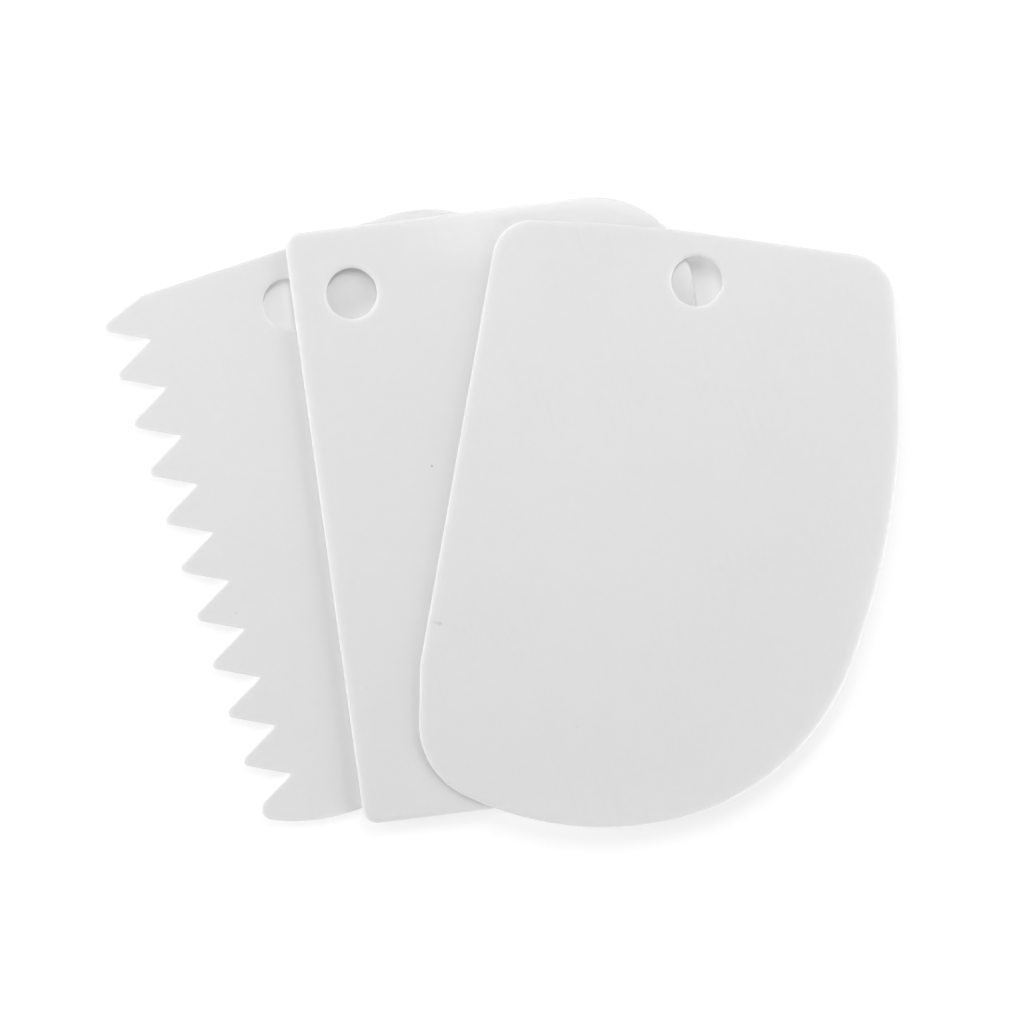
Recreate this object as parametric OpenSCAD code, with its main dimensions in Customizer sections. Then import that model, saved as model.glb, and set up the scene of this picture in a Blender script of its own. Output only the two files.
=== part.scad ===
// Three loose plastic scrapers for icing and dough, fanned out and lying on each other:
// a comb scraper at the bottom, a straight scraper on it and a bowl scraper on top.
// Each is one flat moulding with a hanging hole.
// Units are millimetres. +Z is up, and the set rests on the plane z = 0.
// +X runs across the comb scraper from its teeth to its back, +Y towards its top edge.
// The origin is the middle of the comb scraper's underside.

/* [Hanging holes] */
// Diameter of the round hole near the top of each scraper
hole_d = 10; // [6:0.5:14]

/* [Comb scraper] */
// Thickness of the comb scraper
comb_t = 1.5; // [0.8:0.1:3]
// Width from the tips of the teeth to the back
comb_w = 86.8; // [70:0.1:110]
// Space between the top edge and the tip of the first tooth
comb_top_margin = 3.8; // [3:0.1:8]
// Space between the tip of the last tooth and the bottom edge
comb_bottom_margin = 5.8; // [3:0.1:10]
// Number of teeth
tooth_count = 11; // [5:1:12]
// Distance from one tooth to the next
tooth_pitch = 10; // [8:0.5:12]
// Angle between the two flanks of a tooth
tooth_angle = 56; // [50:1:70]
// Radius of the teeth's tips
tip_r = 1.15; // [0.5:0.05:1.6]
// Radius of the blunter tip of the last tooth
last_tip_r = 2.2; // [1:0.1:2.6]
// Radius at the bottom of the gaps between the teeth
root_r = 0.2; // [0.2:0.1:0.8]
// Length of the first tooth's upper flank, measured along the width
comb_top_shoulder = 9.1; // [7:0.1:14]
// Length of the last tooth's lower flank, measured along the width
comb_bottom_shoulder = 9.1; // [7:0.1:14]
// Radius where the top edge turns into the first tooth
comb_top_shoulder_r = 1; // [0.5:0.1:6]
// Radius of the long bend where the bottom edge turns into the last tooth
comb_bottom_shoulder_r = 34; // [10:1:50]
// Radius of the two corners at the back
comb_back_r = 27; // [5:0.1:30]
// Distance from the tips of the teeth to the middle of the hanging hole
comb_hole_in = 36.1; // [25:0.1:45]
// Distance from the top edge to the middle of the hanging hole
comb_hole_down = 10.6; // [9:0.1:20]

/* [Straight scraper] */
// Thickness of the straight scraper, the stiffest of the three
straight_t = 2; // [0.8:0.1:4]
// Width at the top edge
straight_w = 79; // [70:0.1:100]
// Height from the bottom edge to the top edge
straight_h = 117.3; // [100:0.1:140]
// How far the working edge leans in towards the bottom
straight_lean = 1.5; // [0:0.1:4]
// Radius of the two corners on the working edge
straight_edge_r = 3; // [1:0.1:10]
// Radius of the two corners at the back
straight_back_r = 20; // [5:0.1:30]
// Distance from the working edge to the middle of the hanging hole
straight_hole_in = 11.9; // [9:0.1:20]
// Distance from the top edge to the middle of the hanging hole
straight_hole_down = 13.1; // [9:0.1:20]

/* [Bowl scraper] */
// Thickness of the bowl scraper, the most flexible of the three
bowl_t = 1.2; // [0.8:0.1:3]
// Height of the top edge over the lowest point, at the straight edge
bowl_left_h = 115.6; // [105:0.1:125]
// Height of the top edge where it turns down a little
bowl_crown_h = 119.2; // [116:0.1:130]
// Height of the top edge at the corner over the round side
bowl_right_h = 121; // [112:0.1:130]
// Distance from the straight edge to the turn in the top edge
bowl_crown_in = 28; // [20:0.5:45]
// Distance from the straight edge to the top corner over the round side
bowl_right_in = 77.8; // [70:0.1:84]
// Radius of the top corner at the straight edge
bowl_left_r = 8; // [3:0.1:12]
// Radius of the turn in the top edge
bowl_crown_r = 230; // [50:5:300]
// Radius of the top corner over the round side
bowl_right_r = 9.5; // [4:0.1:14]
// Distance from the straight edge to the bend halfway down the round side
bowl_side_in = 89.6; // [84:0.1:95]
// Height of the bend halfway down the round side
bowl_side_up = 72; // [60:0.5:80]
// Radius of the bend halfway down the round side
bowl_side_r = 146; // [60:1:150]
// Distance from the straight edge to the low bend of the round side
bowl_belly_in = 78.8; // [74:0.1:84]
// Height of the low bend of the round side
bowl_belly_up = 15.8; // [12:0.1:24]
// Radius of the low bend of the round side
bowl_belly_r = 48.5; // [20:0.5:49]
// Distance from the straight edge to the bend at the bottom
bowl_base_in = 36.4; // [32:0.1:42]
// How far below the lowest point the two lines of the bottom bend would meet
bowl_base_drop = 3; // [1:0.1:4]
// Radius of the bend at the bottom
bowl_base_r = 62; // [20:1:64]
// Distance from the straight edge to the corner beside the bottom bend
bowl_heel_in = 3.4; // [2:0.1:8]
// Height of the corner beside the bottom bend
bowl_heel_up = 4.7; // [3:0.1:8]
// Radius of the corner beside the bottom bend
bowl_heel_r = 15.7; // [6:0.1:16]
// Height at which the straight edge starts to turn in
bowl_turn_up = 26.3; // [22:0.1:40]
// Radius where the straight edge starts to turn in
bowl_turn_r = 11; // [5:1:40]
// Distance from the straight edge to the middle of the hanging hole
bowl_hole_in = 40.5; // [30:0.1:60]
// Distance from the crown of the top edge down to the middle of the hanging hole
bowl_hole_down = 9; // [8:0.1:20]

/* [Fan] */
// How far the straight scraper is turned from the comb scraper, clockwise
straight_turn = 10.9; // [0:0.1:20]
// Step across from the comb scraper's hole to the straight scraper's hole
straight_step_x = 12.6; // [0:0.1:20]
// Step down from the comb scraper's hole to the straight scraper's hole
straight_step_y = 1.9; // [-5:0.1:10]
// How far the bowl scraper is turned from the comb scraper, clockwise
bowl_turn = 28; // [0:0.1:40]
// Step across from the straight scraper's hole to the bowl scraper's hole
bowl_step_x = 65.4; // [50:0.1:75]
// Step down from the straight scraper's hole to the bowl scraper's hole
bowl_step_y = 18.7; // [5:0.1:30]

/* [Hidden] */
// How far inside its arc the middle of one straight piece of a rounded corner may lie
arc_sag = 0.02;
// Number of sides that a hole is drawn with
hole_sides = 96;
// How far a hole's cutter reaches past each face
cut_past = 1;
plastic = [0.9, 0.9, 0.9];

comb_h = comb_top_margin + (tooth_count - 1) * tooth_pitch + comb_bottom_margin;
flank = tooth_angle / 2;
comb_hole = [comb_hole_in - comb_w / 2, comb_h / 2 - comb_hole_down];
straight_hole = comb_hole + [straight_step_x, -straight_step_y];
bowl_hole = straight_hole + [bowl_step_x, -bowl_step_y];

// Half the angle between the two sides that meet at corner b.
function half_angle(a, b, c) = acos((a - b) * (c - b) / norm(a - b) / norm(c - b)) / 2;

// Points of the arc of radius r that rounds the corner b between the neighbours a and c.
function corner_arc(a, b, c, r) =
    let (to_a = (a - b) / norm(a - b),
         to_c = (c - b) / norm(c - b),
         half = half_angle(a, b, c),
         middle = b + (to_a + to_c) / norm(to_a + to_c) * r / sin(half),
         first = b + to_a * r / tan(half) - middle,
         start = atan2(first.y, first.x),
         turn = sign(cross(to_c, to_a)) * (180 - 2 * half),
         step = 2 * acos(1 - arc_sag / r),
         steps = max(2, ceil(abs(turn) / step)))
    [for (i = [0:steps]) let (at = start + turn * i / steps) middle + r * [cos(at), sin(at)]];

// An outline through corners that are given as [x, y, radius], each one rounded.
// Two neighbouring arcs share the side between them, and where it is too short both shrink to fit.
function rounded(corners) =
    let (n = len(corners),
         xy = [for (k = corners) [k.x, k.y]],
         before = [for (i = [0:n - 1]) (i + n - 1) % n],
         after = [for (i = [0:n - 1]) (i + 1) % n],
         reach = [for (i = [0:n - 1]) corners[i].z / tan(half_angle(xy[before[i]], xy[i], xy[after[i]]))],
         room = [for (i = [0:n - 1]) norm(xy[after[i]] - xy[i]) / (reach[i] + reach[after[i]])])
    [for (i = [0:n - 1])
        each corner_arc(xy[before[i]], xy[i], xy[after[i]],
                        corners[i].z * min(1, room[i], room[before[i]]))];

// How far in front of the tips' line two flanks would meet if their tip weren't rounded.
function over_tip(r) = r / sin(flank) - r;

// The corner of tooth i, whose rounded tip of radius r touches the line x = 0.
// A blunter tip keeps the tooth's upper flank where it is.
function tooth_tip(i, r) =
    let (y = -comb_top_margin - i * tooth_pitch)
    [-over_tip(r), y - (over_tip(r) - over_tip(tip_r)) * tan(flank), r];

// The bottom of the gap under tooth i, where the flanks of two teeth meet.
function tooth_root(i) =
    [tooth_pitch / 2 / tan(flank) - over_tip(tip_r),
     -comb_top_margin - (i + 0.5) * tooth_pitch,
     root_r];

// The comb scraper's outline, measured from the tips' line and from the top edge.
comb_outline = rounded([
    [comb_w, 0, comb_back_r],
    [comb_top_shoulder, 0, comb_top_shoulder_r],
    for (i = [0:tooth_count - 2]) each [tooth_tip(i, tip_r), tooth_root(i)],
    tooth_tip(tooth_count - 1, last_tip_r),
    [comb_bottom_shoulder, -comb_h, comb_bottom_shoulder_r],
    [comb_w, -comb_h, comb_back_r]
]);

// The straight scraper's outline, measured from the top of the working edge.
straight_outline = rounded([
    [0, 0, straight_edge_r],
    [straight_lean, -straight_h, straight_edge_r],
    [straight_w, -straight_h, straight_back_r],
    [straight_w, 0, straight_back_r]
]);

// The bowl scraper's outline, measured from the straight edge and from the lowest point.
bowl_outline = rounded([
    [0, bowl_left_h, bowl_left_r],
    [0, bowl_turn_up, bowl_turn_r],
    [bowl_heel_in, bowl_heel_up, bowl_heel_r],
    [bowl_base_in, -bowl_base_drop, bowl_base_r],
    [bowl_belly_in, bowl_belly_up, bowl_belly_r],
    [bowl_side_in, bowl_side_up, bowl_side_r],
    [bowl_right_in, bowl_right_h, bowl_right_r],
    [bowl_crown_in, bowl_crown_h, bowl_crown_r]
]);

// A flat plate of the given outline, moved so that its hanging hole is drilled at the origin.
module plate(outline, hole, thickness)
    difference() {
        linear_extrude(thickness)
            translate(-hole) polygon(outline);
        translate([0, 0, -cut_past])
            cylinder(d = hole_d, h = thickness + 2 * cut_past, $fn = hole_sides);
    }

// A scraper in the fan: its hole stands over at, it is turned clockwise, and it lies at height z.
module lay(at, turn, z)
    translate([at.x, at.y, z]) rotate(-turn) children();

module comb_scraper()
    color(plastic)
        lay(comb_hole, 0, 0)
            plate(comb_outline, [comb_hole_in, -comb_hole_down], comb_t);

module straight_scraper()
    color(plastic)
        lay(straight_hole, straight_turn, comb_t)
            plate(straight_outline, [straight_hole_in, -straight_hole_down], straight_t);

module bowl_scraper()
    color(plastic)
        lay(bowl_hole, bowl_turn, comb_t + straight_t)
            plate(bowl_outline, [bowl_hole_in, bowl_crown_h - bowl_hole_down], bowl_t);

comb_scraper();
straight_scraper();
bowl_scraper();
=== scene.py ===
import math

import bmesh
import bpy
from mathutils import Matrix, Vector


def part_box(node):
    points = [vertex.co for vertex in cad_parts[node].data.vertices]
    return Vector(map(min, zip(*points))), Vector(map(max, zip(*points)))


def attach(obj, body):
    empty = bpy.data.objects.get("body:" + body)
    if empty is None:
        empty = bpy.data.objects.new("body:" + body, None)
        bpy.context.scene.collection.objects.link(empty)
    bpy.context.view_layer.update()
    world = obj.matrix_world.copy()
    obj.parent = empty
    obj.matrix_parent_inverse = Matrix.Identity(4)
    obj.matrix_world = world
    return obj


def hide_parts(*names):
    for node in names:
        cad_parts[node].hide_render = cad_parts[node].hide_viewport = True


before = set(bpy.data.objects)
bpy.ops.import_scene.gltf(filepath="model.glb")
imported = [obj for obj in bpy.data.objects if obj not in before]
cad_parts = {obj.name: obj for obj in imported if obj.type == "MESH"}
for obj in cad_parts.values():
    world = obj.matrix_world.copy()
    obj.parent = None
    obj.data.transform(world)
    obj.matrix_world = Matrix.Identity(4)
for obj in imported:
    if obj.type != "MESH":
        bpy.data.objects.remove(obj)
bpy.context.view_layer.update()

# Comb scraper
# The stiff plate with the row of pointed teeth that comb ridges into icing. It is one flat injection
# moulding of white plastic with softly rounded edges, and it lies at the bottom, flat on the table.

comb_tone = 0.766
comb_edge_reach = 0.0009    # how far in the soft rounding of the upper edge starts, inside the tips' radius
comb_edge_drop = 0.00022    # how far down the wall it ends
hole_edge_reach = 0.0013    # how far in it starts round each of the three holes
# Moulding specks: x, y, half length and half width in mm, turn in degrees, and darkness (below 0 for
# painted light, a place made lighter)
comb_specks = [(-35.74, -10.48, 0.28, 0.28, 0, 0.12)]


def rims_of(node, same=1e-6):
    """The closed rims of a node's top face as lists of 2-D points, with the plastic on their left."""
    solid = bmesh.new()
    solid.from_mesh(node.data)
    bmesh.ops.remove_doubles(solid, verts=solid.verts, dist=same)
    top = max(v.co.z for v in solid.verts)
    nearby = {}
    for edge in solid.edges:
        on_top = all(v.co.z > top - same for v in edge.verts)
        meets_wall = any(face.normal.z < 0.5 for face in edge.link_faces)
        if on_top and meets_wall:
            a, b = edge.verts
            nearby.setdefault(a, []).append(b)
            nearby.setdefault(b, []).append(a)
    rims = []
    while nearby:
        first = next(iter(nearby))
        rim, here, before = [first], nearby[first][0], first
        while here != first:
            rim.append(here)
            here, before = next(v for v in nearby[here] if v != before), here
        for vert in rim:
            del nearby[vert]
        rims.append([vert.co.xy.copy() for vert in rim])
    solid.free()
    rims.sort(key=lambda rim: -abs(signed_area(rim)))
    for number, rim in enumerate(rims):
        if (signed_area(rim) > 0) != (number == 0):
            rim.reverse()
    return rims


def signed_area(rim):
    """The area inside a rim, positive where it runs counter-clockwise."""
    return sum(a.cross(b) for a, b in zip(rim, rim[1:] + rim[:1])) / 2


def with_short_sides(rim, longest=0.007, spacing=0.002):
    """The rim with points along its long straight sides, so that the shading of a corner stays there."""
    points = []
    for a, b in zip(rim, rim[1:] + rim[:1]):
        parts = math.ceil((b - a).length / spacing) if (b - a).length > longest else 1
        points += [a.lerp(b, part / parts) for part in range(parts)]
    return points


def inset(rim, distance):
    """The rim moved into the plastic by a distance, with mitred corners."""
    moved = []
    for before, here, after in zip(rim[-1:] + rim[:-1], rim, rim[1:] + rim[:1]):
        left_in = (here - before).normalized().orthogonal()
        left_out = (after - here).normalized().orthogonal()
        moved.append(here + (left_in + left_out) * (distance / (1 + left_in.dot(left_out))))
    return moved


def edge_section(low, high, reach, drop, under_round=0.00015, steps=8, margin=1.04):
    """(inset, height) pairs up over a plate's edge: underside, small rounding, wall, long soft rounding."""
    quarter = [math.pi / 2 * step / steps for step in range(steps + 1)]
    under = [(under_round * (1 - math.sin(a)), low + under_round * (1 - math.cos(a))) for a in quarter]
    over = [(reach * (1 - math.cos(a)), high - drop * (1 - math.sin(a))) for a in quarter]
    flat = reach * margin
    return [(flat, low)] + under + over + [(flat, high)]


def moulded_plate(name, node, edge, hole_edge):
    """A plate on the rims of a CAD node, with one section along its outer edge and one round its hole."""
    plate = bmesh.new()
    first_rings, last_rings = [], []
    for number, rim in enumerate(rims_of(node)):
        rim = with_short_sides(rim)
        section = hole_edge if number else edge
        rings = []
        for reach, height in section:
            rings.append([plate.verts.new((x, y, height)) for x, y in inset(rim, reach)])
        for lower, upper in zip(rings, rings[1:]):
            for a, b, c, d in zip(lower, lower[1:] + lower[:1], upper[1:] + upper[:1], upper):
                plate.faces.new((a, b, c, d))
        first_rings.append(rings[0])
        last_rings.append(rings[-1])
    for rings in (first_rings, last_rings):
        sides = [plate.edges.get((a, b)) for ring in rings for a, b in zip(ring, ring[1:] + ring[:1])]
        bmesh.ops.triangle_fill(plate, edges=sides, use_beauty=True, normal=(0, 0, 1))
    bmesh.ops.recalc_face_normals(plate, faces=plate.faces)
    for face in plate.faces:
        face.smooth = True
    mesh = bpy.data.meshes.new(name)
    plate.to_mesh(mesh)
    plate.free()
    piece = bpy.data.objects.new(name, mesh)
    bpy.context.scene.collection.objects.link(piece)
    return piece


def moulded_plastic(name, tone, seed, low, high, specks_and_painted_light):
    """Satin white plastic: moulded grain, slight waviness, hairline scratches, worn rims, specks and any
    patches of painted light.
    """
    # How wide the marks are, in metres
    cloud_width, wave_width, dull_width = 0.045, 0.024, 0.012
    mottle_width, nick_width, grain_width = 0.0014, 0.0009, 0.00028
    hairline_width, handled_width, rim_width = 0.00022, 0.018, 0.0004
    # How high the relief is, in metres
    wave_height, nick_height, grain_height = 0.00005, 0.000008, 0.000005

    material = bpy.data.materials.new(name)
    material.use_nodes = True
    nodes, links = material.node_tree.nodes, material.node_tree.links
    shader = nodes["Principled BSDF"]
    place = nodes.new("ShaderNodeTexCoord").outputs["Object"]
    shifted = nodes.new("ShaderNodeVectorMath")
    shifted.inputs[1].default_value = (seed, -seed, 0)
    links.new(place, shifted.inputs[0])
    shifted = shifted.outputs["Vector"]

    def combined(operation, a, b):
        node = nodes.new("ShaderNodeMath")
        node.operation = operation
        for socket, value in zip(node.inputs, (a, b)):
            if isinstance(value, (int, float)):
                socket.default_value = value
            else:
                links.new(value, socket)
        return node.outputs["Value"]

    def eased(value, start, end, at_start, at_end):
        node = nodes.new("ShaderNodeMapRange")
        node.interpolation_type = "SMOOTHSTEP"
        links.new(value, node.inputs["Value"])
        node.inputs["From Min"].default_value = start
        node.inputs["From Max"].default_value = end
        node.inputs["To Min"].default_value = at_start
        node.inputs["To Max"].default_value = at_end
        return node.outputs["Result"]

    def noise(size, detail, where=shifted):
        node = nodes.new("ShaderNodeTexNoise")
        node.inputs["Scale"].default_value = 1 / size
        node.inputs["Detail"].default_value = detail
        links.new(where, node.inputs["Vector"])
        return node.outputs["Fac"]

    def hairlines(turn_deg, start):
        streak = nodes.new("ShaderNodeMapping")
        streak.inputs["Rotation"].default_value = (0, 0, math.radians(turn_deg))
        streak.inputs["Scale"].default_value = (1, 0.006, 1)
        links.new(shifted, streak.inputs["Vector"])
        lines = eased(noise(hairline_width, 1, streak.outputs["Vector"]), start, start + 0.05, 0, 1)
        handled = eased(noise(handled_width, 1), 0.5, 0.62, 0, 1)
        return combined("MULTIPLY", lines, handled)

    # Worn rims: 1 on the walls and roundings between the two flat faces
    depth = nodes.new("ShaderNodeSeparateXYZ")
    links.new(place, depth.inputs["Vector"])
    off_middle = combined("ABSOLUTE", combined("SUBTRACT", depth.outputs["Z"], (low + high) / 2), 0)
    half_thick = (high - low) / 2
    rim = eased(off_middle, half_thick - rim_width, half_thick - 0.00002, 1, 0)

    # Hairline scratches of handling, in two directions
    scratches = combined("MAXIMUM", hairlines(12, 0.62), hairlines(-58, 0.64))

    # Colour: cloudy by half a percent, finely mottled, a trace darker in the scratches, with the specks and
    # any patches of painted light
    cloud = eased(noise(cloud_width, 2), 0.3, 0.7, tone * 0.994, tone * 1.006)
    mottle = eased(noise(mottle_width, 3), 0.3, 0.7, 0.995, 1.005)
    colour = combined("MULTIPLY", cloud, mottle)
    marks_and_painted_light = combined("SUBTRACT", 1.0, combined("MULTIPLY", scratches, 0.015))
    # Each speck darkens the colour; one with darkness below 0 is painted light, a place made lighter
    for x, y, half_length, half_width, turn_deg, darkness in specks_and_painted_light:
        spot = nodes.new("ShaderNodeMapping")
        spot.vector_type = "TEXTURE"
        spot.inputs["Location"].default_value = (x / 1000, y / 1000, high)
        spot.inputs["Rotation"].default_value = (0, 0, math.radians(turn_deg))
        spot.inputs["Scale"].default_value = (half_length / 1000, half_width / 1000, 0.001)
        links.new(place, spot.inputs["Vector"])
        apart = nodes.new("ShaderNodeVectorMath")
        apart.operation = "LENGTH"
        links.new(spot.outputs["Vector"], apart.inputs[0])
        speck_and_painted_light = eased(apart.outputs["Value"], 0.4, 1.2, 1 - darkness, 1)
        marks_and_painted_light = combined("MULTIPLY", marks_and_painted_light, speck_and_painted_light)
    links.new(combined("MULTIPLY", colour, marks_and_painted_light), shader.inputs["Base Color"])

    # Finish: satin, a little duller on hairlines and rims
    roughness = eased(noise(dull_width, 3), 0.3, 0.7, 0.39, 0.46)
    roughness = combined("ADD", roughness, combined("MULTIPLY", scratches, 0.08))
    roughness = combined("ADD", roughness, combined("MULTIPLY", rim, 0.05))
    links.new(roughness, shader.inputs["Roughness"])
    shader.inputs["IOR"].default_value = 1.49
    shader.inputs["Subsurface Weight"].default_value = 0.45
    shader.inputs["Subsurface Radius"].default_value = (1.0, 1.0, 1.0)
    shader.inputs["Subsurface Scale"].default_value = 0.0012

    # Relief: fine grain, shallow waves and nicks along the rims
    grain = combined("MULTIPLY", noise(grain_width, 2), grain_height)
    waves = combined("MULTIPLY", noise(wave_width, 0), wave_height)
    nicks = combined("MULTIPLY", combined("MULTIPLY", noise(nick_width, 1), rim), nick_height)
    height = combined("ADD", combined("ADD", grain, waves), nicks)
    relief = nodes.new("ShaderNodeBump")
    relief.inputs["Distance"].default_value = 1.0
    links.new(height, relief.inputs["Height"])
    links.new(relief.outputs["Normal"], shader.inputs["Normal"])
    return material


comb_low, comb_high = (corner.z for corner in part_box("comb_scraper"))
comb = moulded_plate(
    "comb_plate",
    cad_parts["comb_scraper"],
    edge_section(comb_low, comb_high, comb_edge_reach, comb_edge_drop),
    edge_section(comb_low, comb_high, hole_edge_reach, comb_edge_drop),
)
comb.data.materials.append(moulded_plastic("comb_plastic", comb_tone, 1, comb_low, comb_high, comb_specks))
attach(comb, "comb")
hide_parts("comb_scraper")

# Straight scraper
# The thickest and stiffest plate, with one straight working edge that smooths the side of a cake.
# It is a flat moulding too, and lies loose on the comb scraper.

straight_tone = 0.761
straight_edge_reach = 0.0022
straight_edge_drop = 0.0009
straight_specks_and_painted_light = [
    (9.83, 5.07, 0.26, 0.26, 0, 0.42),
    (-15.85, -32.55, 0.3, 0.3, 0, 0.07),
    (48.3, 44.8, 29.6, 10.8, -10.9, -0.085),    # painted light: a band along the top edge made lighter
]

straight_low, straight_high = (corner.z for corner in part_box("straight_scraper"))
straight = moulded_plate(
    "straight_plate",
    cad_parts["straight_scraper"],
    edge_section(straight_low, straight_high, straight_edge_reach, straight_edge_drop),
    edge_section(straight_low, straight_high, hole_edge_reach, straight_edge_drop),
)
straight.data.materials.append(
    moulded_plastic("straight_plastic", straight_tone, 2, straight_low, straight_high, straight_specks_and_painted_light)
)
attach(straight, "straight")
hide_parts("straight_scraper")

# Bowl scraper
# The thinnest and most flexible plate, whose round side follows the wall of a bowl.
# It lies loose on top of the other two.

bowl_tone = 0.77
bowl_edge_reach = 0.0022
bowl_edge_drop = 0.0008
bowl_specks = [
    (21.08, -52.58, 0.3, 0.3, 0, 0.05),
    (63.2, -57.24, 0.3, 0.3, 0, 0.03),
    (1.37, -24.68, 1.25, 0.34, -27, 0.11),    # a short mark in from the left edge
    (1.75, -25.05, 0.5, 0.3, 40, 0.09),    # and its branch
]

bowl_low, bowl_high = (corner.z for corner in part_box("bowl_scraper"))
bowl = moulded_plate(
    "bowl_plate",
    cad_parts["bowl_scraper"],
    edge_section(bowl_low, bowl_high, bowl_edge_reach, bowl_edge_drop),
    edge_section(bowl_low, bowl_high, hole_edge_reach, bowl_edge_drop),
)
bowl.data.materials.append(moulded_plastic("bowl_plastic", bowl_tone, 3, bowl_low, bowl_high, bowl_specks))
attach(bowl, "bowl")
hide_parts("bowl_scraper")

# Table top
# A plain white surface under the set, which keeps the set's soft shadow. It isn't part of the object.

table_size = 6.0
table_colour = 0.85
table_look = (0.36, 0.70)    # as seen: the share that takes light and shadow, and the share that is white
plain_white = (0, 1)
table_middle = (0.022, -0.008)
far_reach = (0.22, 0.42)    # between these distances it turns plain white, where the lamps don't reach
# Painted shade in two of the holes, where the photo shows the table greyer: there the table takes more of
# its shadow and less glow. x, y and the two shares there
painted_shade_in_holes = [(-0.0073, 0.0442, 0.7, 0.23), (0.0707, 0.0236, 0.8, 0.32)]
painted_shade_reach = (0.0055, 0.0075)


def seen(nodes, links):
    """1 for rays from the camera and for those that show in a gloss or through glass, 0 for the rest."""
    path = nodes.new("ShaderNodeLightPath")
    first, total = nodes.new("ShaderNodeMath"), nodes.new("ShaderNodeMath")
    first.operation = total.operation = "MAXIMUM"
    links.new(path.outputs["Is Camera Ray"], first.inputs[0])
    links.new(path.outputs["Is Glossy Ray"], first.inputs[1])
    links.new(first.outputs["Value"], total.inputs[0])
    links.new(path.outputs["Is Transmission Ray"], total.inputs[1])
    return total.outputs["Value"]


table_mesh = bpy.data.meshes.new("table_top")
half = table_size / 2
corners = [(-half, -half, 0), (half, -half, 0), (half, half, 0), (-half, half, 0)]
table_mesh.from_pydata(corners, [], [(0, 1, 2, 3)])
table = bpy.data.objects.new("table_top", table_mesh)
bpy.context.scene.collection.objects.link(table)
table_paint = bpy.data.materials.new("table_paint")
table_paint.use_nodes = True
nodes, links = table_paint.node_tree.nodes, table_paint.node_tree.links
nodes.clear()
table_place = nodes.new("ShaderNodeTexCoord").outputs["Object"]


def table_shader(shaded, white):
    """A diffuse shader of one grey with a steady glow added to it."""
    diffuse = nodes.new("ShaderNodeBsdfDiffuse")
    diffuse.inputs["Color"].default_value = (shaded, shaded, shaded, 1)
    glow = nodes.new("ShaderNodeEmission")
    glow.inputs["Strength"].default_value = white
    both = nodes.new("ShaderNodeAddShader")
    links.new(diffuse.outputs["BSDF"], both.inputs[0])
    links.new(glow.outputs["Emission"], both.inputs[1])
    return both.outputs["Shader"]


def choice(factor, at_zero, at_one):
    """A Mix Shader between two shaders."""
    mix = nodes.new("ShaderNodeMixShader")
    links.new(factor, mix.inputs["Fac"])
    links.new(at_zero, mix.inputs[1])
    links.new(at_one, mix.inputs[2])
    return mix.outputs["Shader"]


def away_from(x, y, start, end):
    """0 within one distance of a point on the table, 1 beyond another."""
    apart = nodes.new("ShaderNodeVectorMath")
    apart.operation = "DISTANCE"
    apart.inputs[1].default_value = (x, y, 0)
    links.new(table_place, apart.inputs[0])
    outside = nodes.new("ShaderNodeMapRange")
    outside.inputs["From Min"].default_value = start
    outside.inputs["From Max"].default_value = end
    links.new(apart.outputs["Value"], outside.inputs["Value"])
    return outside.outputs["Result"]


look = choice(away_from(*table_middle, *far_reach), table_shader(*table_look), table_shader(*plain_white))
# Painted shade: the table turns greyer in the two holes
for x, y, shaded, white in painted_shade_in_holes:
    look = choice(away_from(x, y, *painted_shade_reach), table_shader(shaded, white), look)
look = choice(seen(nodes, links), table_shader(table_colour, 0), look)
links.new(look, nodes.new("ShaderNodeOutputMaterial").inputs["Surface"])
table.data.materials.append(table_paint)

# Light
# Soft lamps all round, as in a white photo tent. Most light comes from beyond the photo's top edge, and the
# low lamps reach into the holes and light the plates' edges.

photo_turn = math.radians(18)
photo_right = Vector((math.cos(photo_turn), -math.sin(photo_turn), 0))
photo_up = Vector((math.sin(photo_turn), math.cos(photo_turn), 0))
middle = Vector((0.02205, -0.00842, 0))
lamp_distance = 0.62
lamp_size = 0.27


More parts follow.
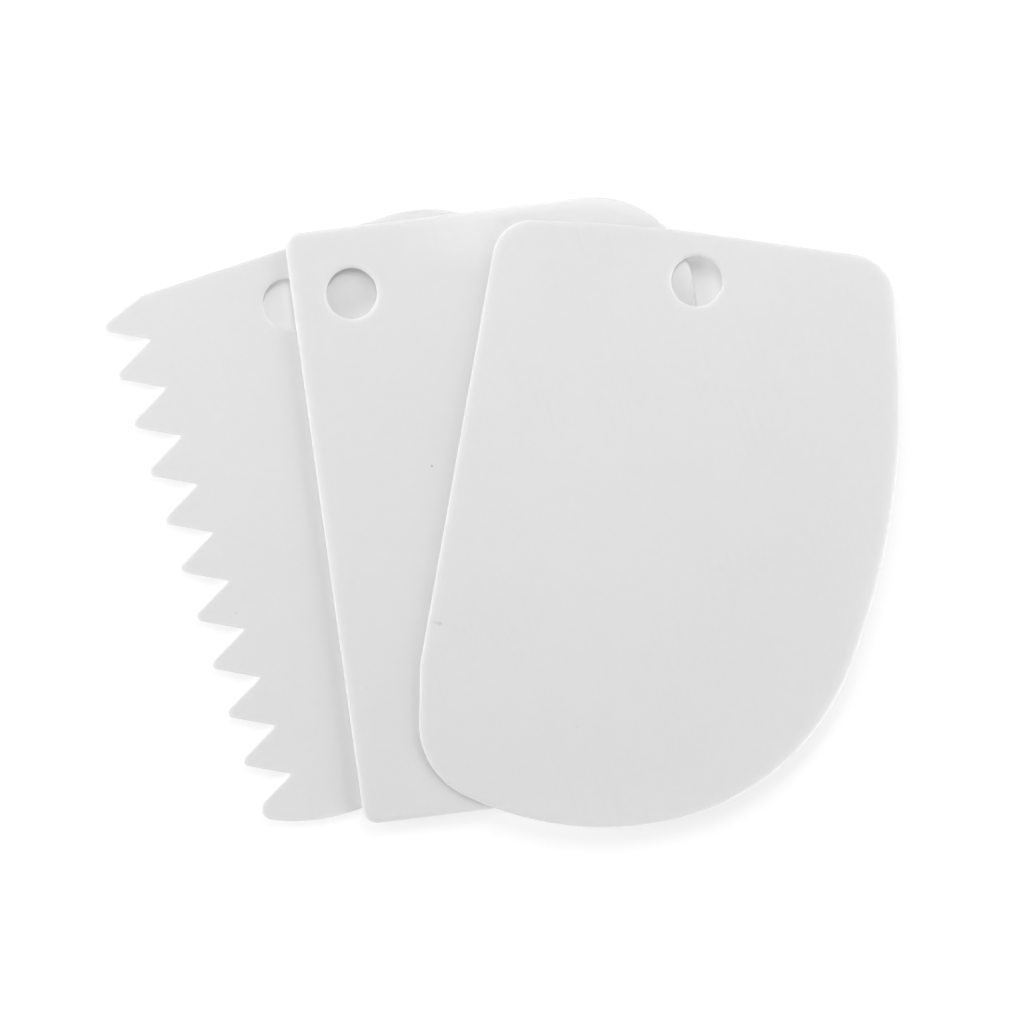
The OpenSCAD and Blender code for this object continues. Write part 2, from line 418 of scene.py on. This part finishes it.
def lamp(name, clock_deg, height_deg, watts):
    """A square area lamp aimed at the set, clock_deg clockwise from the photo's top edge."""
    clock, height = math.radians(clock_deg), math.radians(height_deg)
    flat = photo_right * math.sin(clock) + photo_up * math.cos(clock)
    data = bpy.data.lights.new(name, "AREA")
    data.shape = "SQUARE"
    data.size = lamp_size
    data.energy = watts
    thing = bpy.data.objects.new(name, data)
    thing.location = middle + (flat * math.cos(height) + Vector((0, 0, math.sin(height)))) * lamp_distance
    thing.rotation_euler = (middle - thing.location).to_track_quat("-Z", "Y").to_euler()
    thing.visible_camera = False
    thing.visible_glossy = False    # the plates' gloss shows the even white of the tent
    bpy.context.scene.collection.objects.link(thing)


lamp("top_high", 0, 50, 1.42)
lamp("top_right", 30, 28, 0.91)
lamp("right", 60, 28, 0.73)
lamp("near_right_low", 120, 12, 2.40)
lamp("near_low", 180, 12, 1.22)
lamp("left_low", 270, 12, 2.15)
lamp("left_high", 270, 50, 0.71)
lamp("top_left", 300, 28, 0.60)

tent_glow = 0.02    # what the white tent adds to the lamps' light
tent_seen = 1.0
tent = bpy.data.worlds.new("tent")
bpy.context.scene.world = tent
tent.use_nodes = True
nodes, links = tent.node_tree.nodes, tent.node_tree.links
background = nodes["Background"]
background.inputs["Color"].default_value = (1, 1, 1, 1)
strength = nodes.new("ShaderNodeMix")
strength.inputs["A"].default_value = tent_glow
strength.inputs["B"].default_value = tent_seen
links.new(seen(nodes, links), strength.inputs["Factor"])
links.new(strength.outputs["Result"], background.inputs["Strength"])

# Camera
# It looks straight down from far above, as the photo does, with the comb's teeth to the left. The whole
# view is about 20 cm wide.

view_width = 0.2019
camera_height = 3.0
sensor_width = 36
camera_data = bpy.data.cameras.new("camera")
camera_data.sensor_width = sensor_width
camera_data.lens = sensor_width * camera_height / view_width
camera_data.clip_end = 100
camera = bpy.data.objects.new("camera", camera_data)
camera.location = middle + Vector((0, 0, camera_height))
camera.rotation_euler = (0, 0, -photo_turn)
bpy.context.scene.collection.objects.link(camera)
bpy.context.scene.camera = camera
bpy.context.scene.view_settings.view_transform = "Standard"
